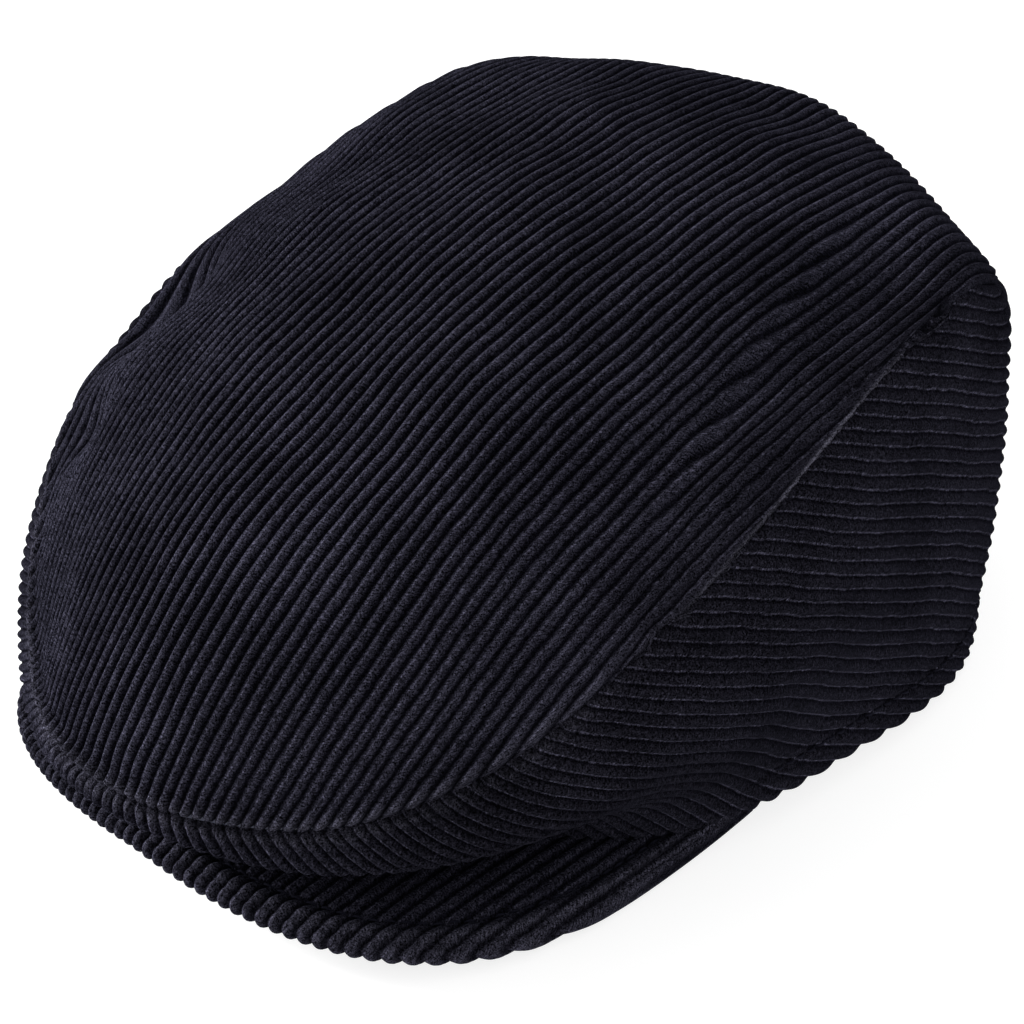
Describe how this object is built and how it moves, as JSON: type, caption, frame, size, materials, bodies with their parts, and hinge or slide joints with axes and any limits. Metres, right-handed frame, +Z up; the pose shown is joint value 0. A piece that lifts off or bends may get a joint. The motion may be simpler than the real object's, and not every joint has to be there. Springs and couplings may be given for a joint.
{
  "type": "flat cap",
  "caption": "Wide-wale corduroy flat cap with a domed one-piece top, two side panels, a stiff covered brim that tilts on its temple seam, a satin lining and a sweatband.",
  "frame": {"origin": "on the table under the middle of the cap's box: halfway between the left and right sides and between the brim's front and the hem's back", "axes": "+Z up from the table the cap lies on, +Y towards the back of the cap, +X towards the wearer's left"},
  "size_m": [0.187, 0.2558, 0.1145],
  "materials": {
    "corduroy": "wide-wale cotton corduroy, near-black navy, matt pile with a faint sheen on the ribs",
    "satin": "navy satin lining, soft gloss",
    "sweatband": "navy satin-faced sweatband",
    "tape": "plain woven cotton tape",
    "thread": "dark polyester thread",
    "board": "semi-rigid plastic brim board",
    "snap_metal": "black enamelled brass press stud",
    "label": "plain woven label, no text"
  },
  "bodies": {
    "crown": {"crown_top_panel": "corduroy", "side_panel_left": "corduroy", "side_panel_right": "corduroy", "hem_stitching": "thread", "back_seam_tape": "tape", "lining_top": "satin", "lining_side_left": "satin", "lining_side_right": "satin", "hem_tape": "tape", "sweatband": "sweatband", "snap_socket": "snap_metal", "snap_washer": "snap_metal", "size_label": "label"},
    "brim": {"brim_top_cover": "corduroy", "brim_board": "board", "brim_under_cover": "corduroy", "brim_stitching": "thread", "snap_stud": "snap_metal"}
  },
  "joints": [
    {"name": "brim_tilt", "type": "hinge", "parent": "crown", "child": "brim", "pos_m": [0, -0.0115, 0.005], "axis": [1, 0, 0], "range_deg": [0, 12], "stiffness_Nm_per_rad": 0.4, "springref_deg": -8.59}
  ]
}
